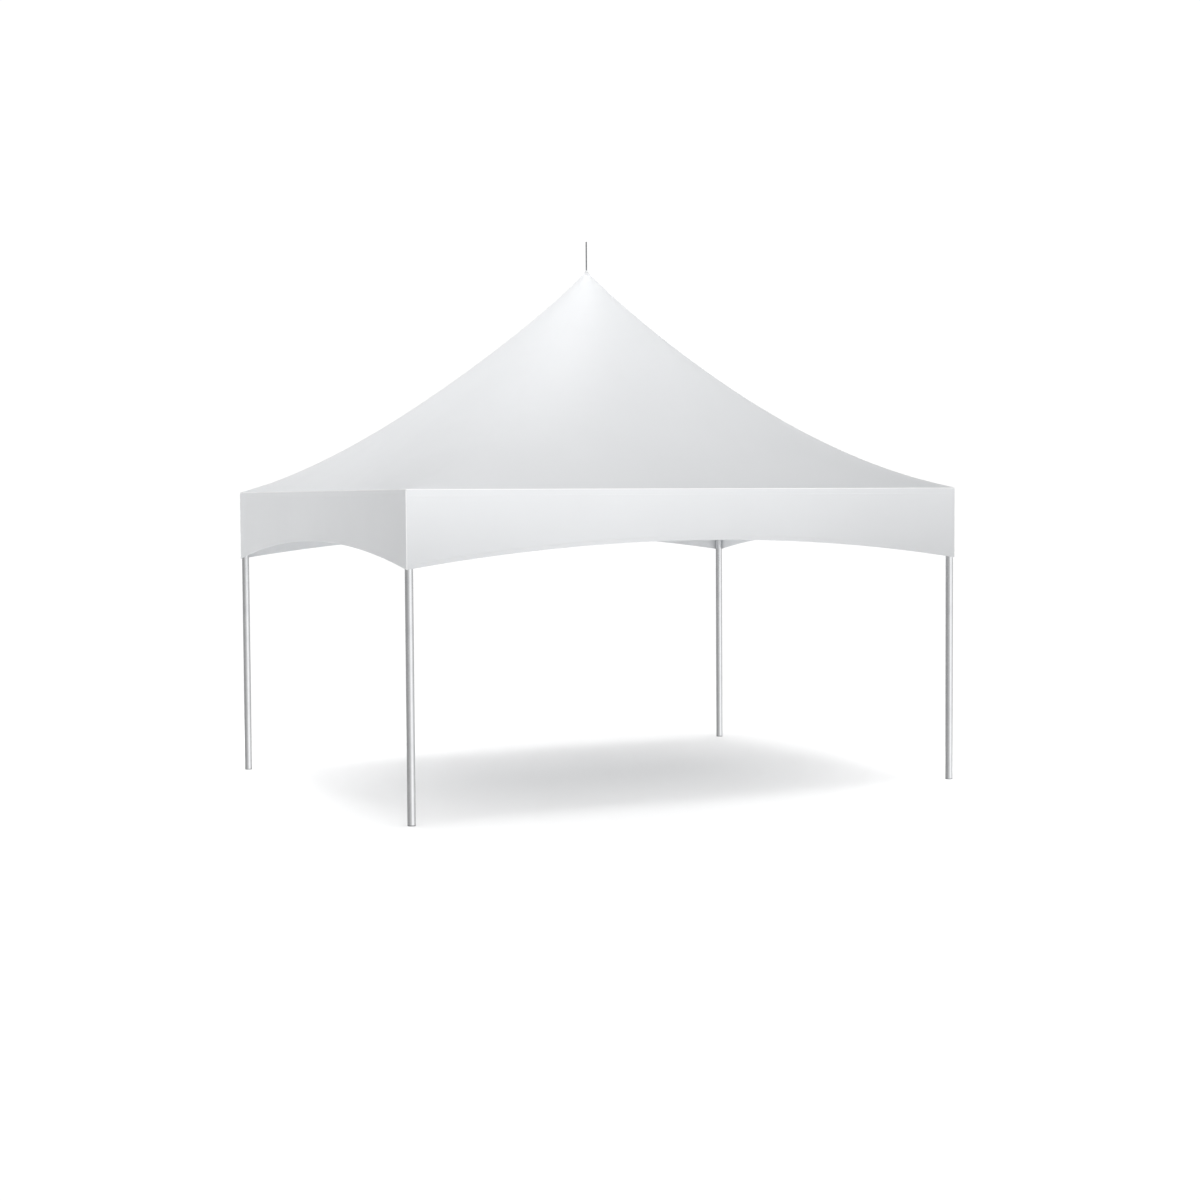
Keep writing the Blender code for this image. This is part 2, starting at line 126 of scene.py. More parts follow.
# The frame.
FABRIC_OFFSET = 0.0328
LEG_X = 2.44
LEG_Y = 1.83
EAVE_TUBE = 2.4062
TUBE_RADIUS = 0.030
TUBE_WALL = 0.003
TUBE_SIDES = 64
TUBE_CHAMFER = 0.0006
BOLT_REACH = 0.084
BUTTON_REACH = 0.150
SPLICE_BUTTON = 0.060
MAST_BUTTONS = (2.245, 4.135)
WELD_DISTANCE = 0.00002
EDGE_SEGMENTS = 2
STRAP_WIDTH = 0.025
STRAP_THICKNESS = 0.0014
STRAP_CLEARANCE = 0.0012
STRAP_TUBE_GAP = 0.0003
STRAP_VALANCE_GAP = 0.0001
STRAP_SPACING = 0.60
STRAP_END = 0.33
# How far in from the eave a strap lies on the roof, and how far below the tube on the valance.
STRAP_INSETS = (0.135, 0.110, 0.088)
STRAP_DROPS = (0.052, 0.062, 0.098)
# Degrees round the tube: first, end, step.
STRAP_WRAP = (178, 301, 12)
STRAP_HIGHEST_CLIMB = 0.5

# The cables.
HUB_PIN_REACH = 0.082
HUB_PIN_HEIGHT = 2.135
CORNER_PIN_REACH = 0.080
CORNER_PIN_HEIGHT = 2.3612
ROPE_START = 0.118
ROPE_END = 0.408
ROPE_STEP = 0.005
ROPE_LAY = 0.045
ROPE_STRANDS = 6
STRAND_REACH = 0.0024
STRAND_RADIUS = 0.0011
STRAND_SIDES = 6
BUCKLE_FAR = 0.093
BUCKLE_LENGTH = 0.200
NUT_HEIGHT = 0.0070
NUT_CHAMFER = 0.0008

SIDES = {
    "front": Vector((0.0, -1.0, 0.0)),
    "right": Vector((1.0, 0.0, 0.0)),
    "back": Vector((0.0, 1.0, 0.0)),
    "left": Vector((-1.0, 0.0, 0.0)),
}
CORNERS = {
    "front_left": (-1, -1),
    "front_right": (1, -1),
    "back_right": (1, 1),
    "back_left": (-1, 1),
}


# Materials


def new_material(name, colour, roughness, metallic=0.0, **sockets):
    """A material with a Principled shader, and the sockets that are the same all over it."""
    material = bpy.data.materials.new(name)
    material.use_nodes = True
    shader = material.node_tree.nodes["Principled BSDF"]
    shader.inputs["Base Color"].default_value = (*colour, 1.0)
    shader.inputs["Roughness"].default_value = roughness
    shader.inputs["Metallic"].default_value = metallic
    for socket, value in sockets.items():
        shader.inputs[socket.replace("_", " ")].default_value = value
    return material, material.node_tree, shader


def add_node(tree, kind, settings=None, **inputs):
    """A node with its settings, and its inputs by name, or by place as i0, i1 and so on.

    An input is a number, a tuple or another node's output.
    """
    node = tree.nodes.new(kind)
    for key, value in (settings or {}).items():
        setattr(node, key, value)
    for key, value in inputs.items():
        numbered = key[0] == "i" and key[1:].isdigit()
        socket = node.inputs[int(key[1:]) if numbered else key.replace("_", " ")]
        if isinstance(value, bpy.types.NodeSocket):
            tree.links.new(value, socket)
        else:
            socket.default_value = value
    return node


def math_node(tree, operation, first, second=0.0):
    return add_node(tree, "ShaderNodeMath", {"operation": operation}, i0=first, i1=second).outputs[0]


def ranged(tree, value, from_low, from_high, to_low, to_high):
    """The value carried from one range to another, and held at its ends."""
    return add_node(
        tree,
        "ShaderNodeMapRange",
        None,
        Value=value,
        From_Min=from_low,
        From_Max=from_high,
        To_Min=to_low,
        To_Max=to_high,
    ).outputs[0]


def noise(tree, vector, scale, detail=3.0, roughness=0.5):
    return add_node(
        tree, "ShaderNodeTexNoise", None, Vector=vector, Scale=scale, Detail=detail, Roughness=roughness
    ).outputs[0]


def stretched(tree, vector, scale):
    return add_node(tree, "ShaderNodeMapping", None, Vector=vector, Scale=scale).outputs[0]


def tinted(tree, factor, first, second):
    node = add_node(tree, "ShaderNodeMix", {"data_type": "RGBA"}, i0=factor)
    node.inputs[6].default_value = (*first, 1.0)
    node.inputs[7].default_value = (*second, 1.0)
    return node.outputs[2]


def coloured(tree, shader, pattern, low, high, light, dark):
    """Colours the shader from light to dark as the pattern goes from low to high."""
    tone = ranged(tree, pattern, low, high, 0.0, 1.0)
    tree.links.new(tinted(tree, tone, light, dark), shader.inputs["Base Color"])


def roughened(tree, shader, pattern, low, high, smooth, rough):
    """Takes the shader's roughness from smooth to rough as the pattern goes from low to high."""
    tree.links.new(ranged(tree, pattern, low, high, smooth, rough), shader.inputs["Roughness"])


def bumped(tree, shader, height, strength, distance, under=None):
    node = add_node(tree, "ShaderNodeBump", None, Strength=strength, Distance=distance, Height=height)
    if under is not None:
        tree.links.new(under, node.inputs["Normal"])
    tree.links.new(node.outputs[0], shader.inputs["Normal"])
    return node.outputs[0]


def fabric_material(name, light, dark):
    """Coated polyester: a faint woven relief under a satin coat, a little uneven in tone and gloss, and
    painted shade towards the hem.
    """
    material, tree, shader = new_material(name, light, 0.45, Specular_IOR_Level=0.35)
    surface = add_node(tree, "ShaderNodeTexCoord").outputs
    cloth = surface["UV"]
    cloudy = noise(tree, surface["Object"], 0.9, 4.0, 0.55)
    streaks = noise(tree, stretched(tree, cloth, (4.0, 0.9, 1.0)), 1.0, 3.0, 0.6)
    shade = add_node(
        tree, "ShaderNodeMath", {"operation": "MULTIPLY_ADD"}, i0=streaks, i1=0.25, i2=cloudy
    ).outputs[0]
    colour = tinted(tree, ranged(tree, shade, 0.45, 0.80, 0.0, 1.0), light, dark)
    # Painted shade: below the eave the colour darkens towards the hem, more where the cloth faces front or
    # back.
    height = add_node(tree, "ShaderNodeSeparateXYZ", None, Vector=surface["Object"]).outputs[2]
    sideways = add_node(tree, "ShaderNodeSeparateXYZ", None, Vector=surface["Normal"]).outputs[1]
    painted_shade_depth = ranged(tree, height, EAVE - 1.0, EAVE, PAINTED_HEM_SHADE, 0.0)
    painted_shade = math_node(tree, "MULTIPLY", painted_shade_depth, math_node(tree, "ABSOLUTE", sideways))
    kept = math_node(tree, "SUBTRACT", 1.0, painted_shade)
    scale = {"operation": "SCALE"}
    colour = add_node(tree, "ShaderNodeVectorMath", scale, i0=colour, Scale=kept).outputs[0]
    tree.links.new(colour, shader.inputs["Base Color"])
    turns = stretched(tree, cloth, (math.tau / WEAVE_PITCH,) * 3)
    threads = add_node(tree, "ShaderNodeSeparateXYZ", None, Vector=turns).outputs
    warp = math_node(tree, "SINE", threads[0])
    weft = math_node(tree, "SINE", threads[1])
    weave = math_node(tree, "MULTIPLY", warp, weft)
    relief = bumped(tree, shader, weave, 0.10, 0.0002)
    bumped(tree, shader, noise(tree, surface["Object"], 2.2, 2.0), 0.10, 0.004, relief)
    gloss = noise(tree, surface["Object"], 5.0, 4.0)
    roughened(tree, shader, gloss, 0.3, 0.7, 0.40, 0.50)
    return material


def tube_material(name, light, dark):
    """Anodised aluminium, drawn along the tube's own Z."""
    material, tree, shader = new_material(name, light, 0.26, 1.0)
    place = add_node(tree, "ShaderNodeTexCoord").outputs["Object"]
    drawn = noise(tree, stretched(tree, place, (260.0, 260.0, 3.0)), 1.0, 3.0)
    patches = noise(tree, place, 6.0, 4.0)
    coloured(tree, shader, patches, 0.35, 0.7, light, dark)
    roughened(tree, shader, drawn, 0.3, 0.7, 0.235, 0.305)
    bumped(tree, shader, drawn, 0.02, 0.0002)
    return material


def cast_material(name, light, dark):
    """Sand-cast aluminium: matt, with a fine grain and patches of darker tone."""
    material, tree, shader = new_material(name, light, 0.5, 1.0)
    place = add_node(tree, "ShaderNodeTexCoord").outputs["Object"]
    grain = noise(tree, place, 420.0, 4.0, 0.7)
    patches = noise(tree, place, 24.0, 4.0, 0.6)
    coloured(tree, shader, patches, 0.3, 0.7, light, dark)
    roughened(tree, shader, grain, 0.2, 0.8, 0.42, 0.62)
    bumped(tree, shader, grain, 0.25, 0.0004)
    return material


def zinc_material(name, light, dark, spangle=140.0):
    """Galvanised steel: pale crystals of slightly different tone and gloss."""
    material, tree, shader = new_material(name, light, 0.4, 1.0)
    place = add_node(tree, "ShaderNodeTexCoord").outputs["Object"]
    cells = add_node(tree, "ShaderNodeTexVoronoi", None, Vector=place, Scale=spangle)
    tone = add_node(tree, "ShaderNodeSeparateColor", None, Color=cells.outputs["Color"]).outputs[0]
    tree.links.new(tinted(tree, tone, light, dark), shader.inputs["Base Color"])
    roughened(tree, shader, tone, 0.0, 1.0, 0.32, 0.48)
    bumped(tree, shader, noise(tree, place, 300.0, 3.0), 0.12, 0.0003)
    return material


def moulded_material(name, light, dark, roughness):
    """Moulded plastic with a fine etched grain."""
    material, tree, shader = new_material(name, light, roughness, Specular_IOR_Level=0.4)
    place = add_node(tree, "ShaderNodeTexCoord").outputs["Object"]
    grain = noise(tree, place, 900.0, 2.0)
    patches = noise(tree, place, 18.0, 3.0)
    coloured(tree, shader, patches, 0.3, 0.7, light, dark)
    roughened(tree, shader, grain, 0.2, 0.8, roughness - 0.06, roughness + 0.06)
    bumped(tree, shader, grain, 0.15, 0.0002)
    return material


def webbing_material(name, light, dark):
    """Woven polyester webbing with a fine rib."""
    material, tree, shader = new_material(name, light, 0.75, Specular_IOR_Level=0.25)
    place = add_node(tree, "ShaderNodeTexCoord").outputs["Object"]
    ribs = noise(tree, place, 700.0, 2.0)
    coloured(tree, shader, ribs, 0.35, 0.65, light, dark)
    bumped(tree, shader, ribs, 0.4, 0.0005)
    return material


CLOTH_LIGHT = (0.80, 0.812, 0.826)
CLOTH_DARK = (0.784, 0.796, 0.81)
FABRIC = fabric_material("white_coated_fabric", CLOTH_LIGHT, CLOTH_DARK)
SEAM_FABRIC = fabric_material("white_welded_fabric", CLOTH_LIGHT, CLOTH_DARK)
THREAD = moulded_material("white_thread", (0.78, 0.79, 0.80), (0.72, 0.73, 0.74), 0.6)
WEBBING = webbing_material("white_webbing", (0.70, 0.71, 0.72), (0.60, 0.61, 0.62))
TUBE = tube_material("anodised_tube", (0.80, 0.81, 0.82), (0.74, 0.75, 0.765))
CAST = cast_material("cast_aluminium", (0.66, 0.67, 0.68), (0.56, 0.57, 0.58))
ZINC = zinc_material("galvanised_steel", (0.66, 0.67, 0.69), (0.52, 0.53, 0.55))
SPIRE = zinc_material("dark_steel_rod", (0.34, 0.345, 0.355), (0.28, 0.285, 0.295))
ROPE = zinc_material("bright_wire_rope", (0.60, 0.61, 0.62), (0.46, 0.47, 0.48), spangle=400.0)
PLUG = moulded_material("grey_end_plug", (0.30, 0.31, 0.32), (0.24, 0.25, 0.26), 0.55)
CAP = moulded_material("white_peak_cap", (0.80, 0.81, 0.82), (0.74, 0.75, 0.76), 0.45)
PIPING = moulded_material("white_piping", (0.93, 0.935, 0.94), (0.90, 0.905, 0.91), 0.35)


# The roof's surface


def along_side(outward):
    return Vector((-outward.y, outward.x, 0.0))


def half_sizes(outward, climb=0.0):
    """Half of the level section's size, outwards and along the side."""
    tip = climb**TIP_POWER
    half_x = HALF_X * (1 - tip) + MEAN_HALF * tip
    half_y = HALF_Y * (1 - tip) + MEAN_HALF * tip
    return (half_x, half_y) if outward.x else (half_y, half_x)


def round_share(outward, across):
    """How far into the rounded corner a point is: 0 all along the side, and 1 at the hip."""
    half_along = half_sizes(outward)[1]
    return max(0.0, (abs(across) * half_along - half_along + CORNER_RADIUS) / CORNER_RADIUS)


def round_corner(outward, across):
    """How far the canopy's rounded corner lies from a sharp one. It is nothing along the sides."""
    into = round_share(outward, across)
    turn = into * math.pi / 4
    out = CORNER_RADIUS * (math.cos(turn) - 1)
    along = CORNER_RADIUS * (math.sin(turn) - into) * math.copysign(1.0, across)
    return outward * out + along_side(outward) * along


def hem_height(across):
    return ARCH_MIDDLE - (ARCH_MIDDLE - ARCH_CORNER) * across**2


def edge_point(outward, across, height):
    """A point on the upright face of the canopy."""
    half_out, half_along = half_sizes(outward)
    level = outward * half_out + along_side(outward) * half_along * across
    return level + round_corner(outward, across) + Vector((0.0, 0.0, height))


def roof_point(outward, climb, across):
    """A point of the roof. Climb goes from eave to tip, across from hip to hip."""
    half_out, half_along = half_sizes(outward, climb)
    bulge = 1 + (math.sqrt(2) - 1) * (1 - (1 - climb) ** BULGE_POWER)
    power = math.log(2) / math.log(bulge)
    bow = (2 / (1 + abs(across) ** power)) ** (1 / power)
    level = (outward * half_out + along_side(outward) * half_along * across) * bow * (1 - climb)
    level += round_corner(outward, across) * max(0.0, 1 - climb / CORNER_FADE)
    share = (1 - STEEPENING) * climb + STEEPENING * climb**2
    return level + Vector((0.0, 0.0, EAVE + (PEAK - EAVE) * share))


def bisected(low, high, holds):
    """How far from low to high the test holds."""
    for _ in range(BISECTIONS):
        middle = (low + high) / 2
        if holds(middle):
            low = middle
        else:
            high = middle
    return low


def roof_height(outward, out, along):
    """The height of the roof above a point of its plan, out from the peak and along that side."""
    side = along_side(outward)

    def point_at(climb):
        across = bisected(-1.0, 1.0, lambda share: roof_point(outward, climb, share).dot(side) < along)
        return roof_point(outward, climb, across)

    return point_at(bisected(0.0, STRAP_HIGHEST_CLIMB, lambda climb: point_at(climb).dot(outward) > out)).z


def fold_point(outward, across, share):
    """A point of the small round fold between roof and valance."""
    start = roof_point(outward, FOLD_CLIMB, across)
    corner = edge_point(outward, across, EAVE)
    end = edge_point(outward, across, EAVE - FOLD_DROP)
    return start * (1 - share) ** 2 + corner * 2 * share * (1 - share) + end * share**2


def valance_point(outward, across, share):
    top = EAVE - FOLD_DROP
    return edge_point(outward, across, top + (hem_height(across) - top) * share)


# Mesh building


def link_piece(name, mesh, material, replaces=(), matrix=None):
    """Links a finished mesh as a piece that rides on the frame."""
    mesh.materials.append(material)
    piece = bpy.data.objects.new(name, mesh)
    if matrix is not None:
        piece.matrix_world = matrix
    bpy.context.scene.collection.objects.link(piece)
    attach(piece, "root")
    if replaces:
        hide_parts(*replaces)
    return piece


def mesh_of(name, points, faces, smooth_angle=SMOOTH):
    mesh = bpy.data.meshes.new(name)
    mesh.from_pydata([tuple(point) for point in points], [], faces)
    mesh.shade_smooth()
    mesh.set_sharp_from_angle(angle=math.radians(smooth_angle))
    return mesh


def loop_faces(rows, columns, wrap_rows=False):
    """Quads of a grid whose columns run round in a loop, facing out."""
    faces = []
    for row in range(rows if wrap_rows else rows - 1):
        low = (row + 1) % rows
        for column in range(columns):
            after = (column + 1) % columns
            upper, lower = row * columns, low * columns
            faces.append((upper + column, lower + column, lower + after, upper + after))
    return faces


def along_z(origin, direction):
    turn = Vector(direction).to_track_quat("Z", "Y").to_matrix().to_4x4()
    return Matrix.Translation(origin) @ turn


def turned_points(profile, sides):
    """Rows of points of a profile of (radius, height), turned about Z."""
    points = []
    for radius, height in profile:
        for i in range(sides):
            angle = math.tau * i / sides
            points.append(Vector((radius * math.cos(angle), radius * math.sin(angle), height)))
    return points


def direction_at(path, i):
    """The direction of a path at one of its points, from the point before it to the one after."""
    return (path[min(i + 1, len(path) - 1)] - path[max(i - 1, 0)]).normalized()


class Bodies:
    """Closed bodies gathered into one mesh."""

    def __init__(self):
        self.points = []
        self.faces = []

    def add(self, points, faces, matrix=None):
        first = len(self.points)
        self.points += [matrix @ point if matrix else point for point in points]
        self.faces += [tuple(first + index for index in face) for face in faces]

    def turned(self, profile, sides, matrix):
        """A solid turned about Z. The profile of (radius, height) runs from the top down."""
        points = turned_points(profile, sides)
        faces = loop_faces(len(profile), sides)
        faces.append(tuple(range(sides)))
        faces.append(tuple(reversed(range(len(points) - sides, len(points)))))
        self.add(points, faces, matrix)

    def along_path(self, points, sides):
        """A bar from points in rows across it, with so many to a row."""
        faces = []
        for first in range(0, len(points) - sides, sides):
            for k in range(sides):
                after = (k + 1) % sides
                faces.append((first + k, first + after, first + sides + after, first + sides + k))
        faces.append(tuple(reversed(range(sides))))
        faces.append(tuple(range(len(points) - sides, len(points))))
        self.add(points, faces)

    def swept(self, path, outs, radius, sides):
        """A round strand along a path. Outs holds a direction across the path at each of its points."""
        points = []
        for i, (middle, out) in enumerate(zip(path, outs)):
            across = direction_at(path, i).cross(out).normalized()
            for k in range(sides):
                angle = math.tau * k / sides
                points.append(middle + (out * math.cos(angle) + across * math.sin(angle)) * radius)
        self.along_path(points, sides)

    def ribbon(self, path, across, width, thickness, shift=None):
        """A flat strap along a path, as wide as width in the direction across."""
        points = []
        for i, middle in enumerate(path):
            up = across.cross(direction_at(path, i)).normalized() * thickness / 2
            side = across * width / 2
            centre = middle + (shift or Vector())
            points += [centre + up - side, centre + up + side, centre - up + side, centre - up - side]
        self.along_path(points, 4)

    def link(self, name, material, slot, smooth_angle=SMOOTH):
        return link_piece(name, mesh_of(name, self.points, self.faces, smooth_angle), material)


# The canopy and the tubes


def passed_lengths(points):
    """The length of the line up to each of its points."""
    lengths = [0.0]
    for a, b in zip(points, points[1:]):
        lengths.append(lengths[-1] + (b - a).length)
    return lengths


def canopy_columns():
    """(outward, across) once round the canopy, closer together at the corners."""
    columns = []
    for outward in SIDES.values():
        half_along = half_sizes(outward)[1]
        first = CORNER_STEPS[-1]
        count = round((half_along - first) / COLUMN_WIDTH)
        steps = [first + (half_along - first) * i / count for i in range(1, count + 1)]
        near = [step / half_along - 1 for step in (*CORNER_STEPS, *steps)]
        far = [-across for across in near[-2::-1]]
        columns += [(outward, across) for across in (near + far)[:-1]]
    return columns


def cloth_uv(mesh, columns, rows_of_length):
    """Gives each side of the canopy its own cut: metres along the side, and metres down from the tip."""
    layer = mesh.uv_layers.new(name="cloth")
    count = len(columns)
    for face in mesh.polygons:
        outward = columns[min(index % count for index in face.vertices)][0]
        if {index % count for index in face.vertices} == {0, count - 1}:
            outward = columns[count - 1][0]
        along = along_side(outward)
        for loop in face.loop_indices:
            index = mesh.loops[loop].vertex_index
            place = mesh.vertices[index].co
            layer.data[loop].uv = (place.dot(along), rows_of_length[outward.x != 0][index // count])


def canopy_rows():
    """One function of (outward, across) for each row, from the tip down to the hem."""
    rows = []
    for i in range(ROOF_ROWS):
        share = (i / (ROOF_ROWS - 1)) ** ROOF_ROW_POWER
        climb = TOP_CLIMB + (FOLD_CLIMB - TOP_CLIMB) * share
        rows.append(lambda outward, across, climb=climb: roof_point(outward, climb, across))
    for i in range(1, FOLD_ROWS + 1):
        rows.append(lambda outward, across, share=i / FOLD_ROWS: fold_point(outward, across, share))
    for i in range(1, VALANCE_ROWS + 1):
        rows.append(lambda outward, across, share=i / VALANCE_ROWS: valance_point(outward, across, share))
    return rows


def make_canopy():
    """The whole cloth as one sheet, from the tip over the eave to the arched hem."""
    columns = canopy_columns()
    rows = canopy_rows()
    points = [row(outward, across) for row in rows for outward, across in columns]
    mesh = mesh_of("canopy", points, loop_faces(len(rows), len(columns)), CANOPY_SMOOTH)
    lengths = {
        outward.x != 0: passed_lengths([row(outward, 0.0) for row in rows])
        for outward in (SIDES["front"], SIDES["left"])
    }
    cloth_uv(mesh, columns, lengths)
    nodes = [f"{kind}_{side}" for kind in ("roof_panel", "valance") for side in SIDES]
    canopy = link_piece("canopy", mesh, FABRIC, nodes)
    thick = canopy.modifiers.new("thickness", "SOLIDIFY")
    thick.thickness = CLOTH
    thick.offset = -1.0
    return canopy


def make_tube(name, origin, direction, length, replaces):
    """A round tube with its edges broken, in its own coordinates along Z."""
    inner = TUBE_RADIUS - TUBE_WALL
    profile = [
        (inner, length),
        (TUBE_RADIUS - TUBE_CHAMFER, length),
        (TUBE_RADIUS, length - TUBE_CHAMFER),
        (TUBE_RADIUS, TUBE_CHAMFER),
        (TUBE_RADIUS - TUBE_CHAMFER, 0.0),
        (inner, 0.0),
    ]
    faces = loop_faces(len(profile), TUBE_SIDES, wrap_rows=True)
    mesh = mesh_of(name, turned_points(profile, TUBE_SIDES), faces)
    return link_piece(name, mesh, TUBE, replaces, along_z(origin, direction))


def make_tubes():
    """Finer tubes in the place of the frame's own, each the length of the node it stands for."""
    axes = {"leg": 2, "eave_tube": 0, "mast": 2}
    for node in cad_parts:
        kind = next((kind for kind in axes if node == kind or node.startswith(kind + "_")), None)
        if kind is None or node in ("mast_head", "mast_hub"):
            continue
        axis = 1 if node in ("eave_tube_left", "eave_tube_right") else axes[kind]
        low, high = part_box(node)
        middle = (low + high) / 2
        start = middle.copy()
        start[axis] = low[axis]
        direction = Vector((0.0, 0.0, 0.0))
        direction[axis] = 1.0
        make_tube(f"{node}_drawn", start, direction, high[axis] - low[axis], [node])


# Details of the cloth


def raised_patch(name, grid, layers, wrap=False):
    """Another layer of cloth welded on. Rows of the grid run down, and columns to the right."""
    lift = layers * PATCH_LIFT
    rows, columns = len(grid), len(grid[0])
    tops, bottoms = [], []
    for i in range(rows):
        for j in range(columns):
            down = grid[min(i + 1, rows - 1)][j] - grid[max(i - 1, 0)][j]
            before = (j - 1) % columns if wrap else max(j - 1, 0)
            after = (j + 1) % columns if wrap else min(j + 1, columns - 1)
            normal = down.cross(grid[i][after] - grid[i][before]).normalized()
            on_edge = i in (0, rows - 1) or (not wrap and j in (0, columns - 1))
            tops.append(grid[i][j] + normal * (EDGE_LIFT if on_edge else lift))
            bottoms.append(grid[i][j] - normal * CLOTH / 2)
    faces = []
    under = rows * columns
    spans = columns if wrap else columns - 1
    for i in range(rows - 1):
        for j in range(spans):
            after = (j + 1) % columns
            upper, lower = i * columns, (i + 1) * columns
            a, b, c, d = upper + j, lower + j, lower + after, upper + after
            faces.append((a, b, c, d))
            faces.append((d + under, c + under, b + under, a + under))
    for j in range(spans):
        after = (j + 1) % columns
        faces.append((j, after, after + under, j + under))
        low = (rows - 1) * columns
        faces.append((low + after, low + j, low + j + under, low + after + under))
    if not wrap:
        for i in range(rows - 1):
            a, b = i * columns, (i + 1) * columns
            faces.append((b, a, a + under, b + under))
            a, b = a + columns - 1, b + columns - 1
            faces.append((a, b, b + under, a + under))
    mesh = mesh_of(name, tops + bottoms, faces, CLOTH_SMOOTH)
    side_lengths = passed_lengths(grid[rows // 2])
    down_lengths = passed_lengths([row[columns // 2] for row in grid])
    layer = mesh.uv_layers.new(name="cloth")
    for loop in mesh.loops:
        index = loop.vertex_index % under
        layer.data[loop.index].uv = (side_lengths[index % columns], down_lengths[index // columns])
    return link_piece(name, mesh, SEAM_FABRIC)


def near_hip(outward, climb, offset):
    """A point of the roof, offset metres along its level section from the hip where that side ends."""
    if offset > 0:
        outward, end = along_side(outward), -1.0
    else:
        end = 1.0
    hip = roof_point(outward, climb, end)
    near = bisected(
        0.0, 1.0, lambda share: (roof_point(outward, climb, end * (1 - share)) - hip).length < abs(offset)
    )
    return roof_point(outward, climb, end * (1 - near)) if offset else hip


def edged(low, high, count, edge):
    """Numbers from low to high in even steps, with one more close to each end."""
    inner = [low + edge + (high - low - 2 * edge) * i / count for i in range(count + 1)]
    return [low, *inner, high]


def make_hip_seams():
    """The roof's four gores overlap along the hips, where they are welded together."""
    columns, rows = HIP_SEAM_STEPS
    offsets = edged(-HIP_SEAM / 2, HIP_SEAM / 2, columns, PATCH_EDGE)
    seams = []
    for name, outward in SIDES.items():
        climbs = edged(HIP_SEAM_TOP, FOLD_CLIMB, rows, HIP_SEAM_INSET)
        grid = [[near_hip(outward, climb, offset) for offset in offsets] for climb in climbs]
        seams.append(raised_patch(f"hip_seam_{name}", grid, HIP_LAYERS))
    return seams


def make_peak_patch():
    """A round patch that strengthens the tip."""
    count, rows = PEAK_PATCH_STEPS
    climbs = edged(PEAK_PATCH_TOP, PEAK_PATCH_CLIMB, rows, PEAK_PATCH_INSET)
    columns = [(outward, 2 * i / count - 1) for outward in SIDES.values() for i in range(count)]
    grid = [[roof_point(outward, climb, across) for outward, across in columns] for climb in climbs]
    return [raised_patch("peak_patch", grid, PEAK_LAYERS, wrap=True)]


def make_corner_patches():
    """A rounded patch over each corner of the roof."""
    columns, rows = CORNER_PATCH_STEPS
    offsets = edged(-CORNER_PATCH, CORNER_PATCH, columns, PATCH_EDGE)
    shares = edged(0.0, 1.0, rows, CORNER_PATCH_INSET)
    patches = []
    for name, outward in SIDES.items():
        grid = []
        for share in shares:
            row = []
            for offset in offsets:
                rise = CORNER_PATCH_CLIMB * (1 - CORNER_PATCH_DIP * (offset / CORNER_PATCH) ** 2)
                climb = FOLD_CLIMB + rise * (1 - share)
                row.append(near_hip(outward, climb, offset))
            grid.append(row)
        patches.append(raised_patch(f"corner_patch_{name}", grid, CORNER_LAYERS))
    return patches


def make_eave_band():
    """The strip that joins roof and valance, folded over the eave."""
    columns = canopy_columns()
    grid = []
    for climb in edged(EAVE_BAND_CLIMB, FOLD_CLIMB, EAVE_BAND_STEPS, EAVE_BAND_INSET):
        grid.append([roof_point(outward, climb, across) for outward, across in columns])
    for i in range(1, FOLD_ROWS + 1):
        grid.append([fold_point(outward, across, i / FOLD_ROWS) for outward, across in columns])
    for drop in edged(EAVE_BAND_FIRST_DROP, EAVE_BAND_DROP, EAVE_BAND_STEPS, PATCH_EDGE)[1:]:
        grid.append([edge_point(outward, across, EAVE - FOLD_DROP - drop) for outward, across in columns])
    return [raised_patch("eave_band", grid, EAVE_LAYERS, wrap=True)]


def edge_normal(outward, across):
    """The level direction in which the upright cloth faces."""
    turn = math.copysign(round_share(outward, across) * math.pi / 4, across)
    return outward * math.cos(turn) + along_side(outward) * math.sin(turn)


def make_piping():
    """A round bead sewn into the seam along the eave, and one down each corner of the valances."""
    columns = canopy_columns()
    points = []
    for k in range(PIPING_SIDES):
        angle = math.pi / 2 - math.tau * k / PIPING_SIDES
        for outward, across in columns:
            bead = edge_normal(outward, across) * math.cos(angle) + Vector((0.0, 0.0, math.sin(angle)))
            points.append(fold_point(outward, across, 0.5) + bead * PIPING_RADIUS)
    faces = loop_faces(PIPING_SIDES, len(columns), wrap_rows=True)
    mesh = mesh_of("eave_piping", points, faces, ROUND_SMOOTH)
    eave = link_piece("eave_piping", mesh, PIPING)
    corners = Bodies()
    top = EAVE - FOLD_DROP
    steps = round((top - ARCH_CORNER) / PIPING_STEP)
    heights = [top + (ARCH_CORNER - top) * i / steps for i in range(steps + 1)]
    for outward in SIDES.values():
        path = [edge_point(outward, -1.0, height) for height in heights]
        corners.swept(path, [edge_normal(outward, -1.0)] * len(path), PIPING_RADIUS, PIPING_SIDES)
    return [eave, corners.link("corner_piping", PIPING, "canopy_fabric", ROUND_SMOOTH)]


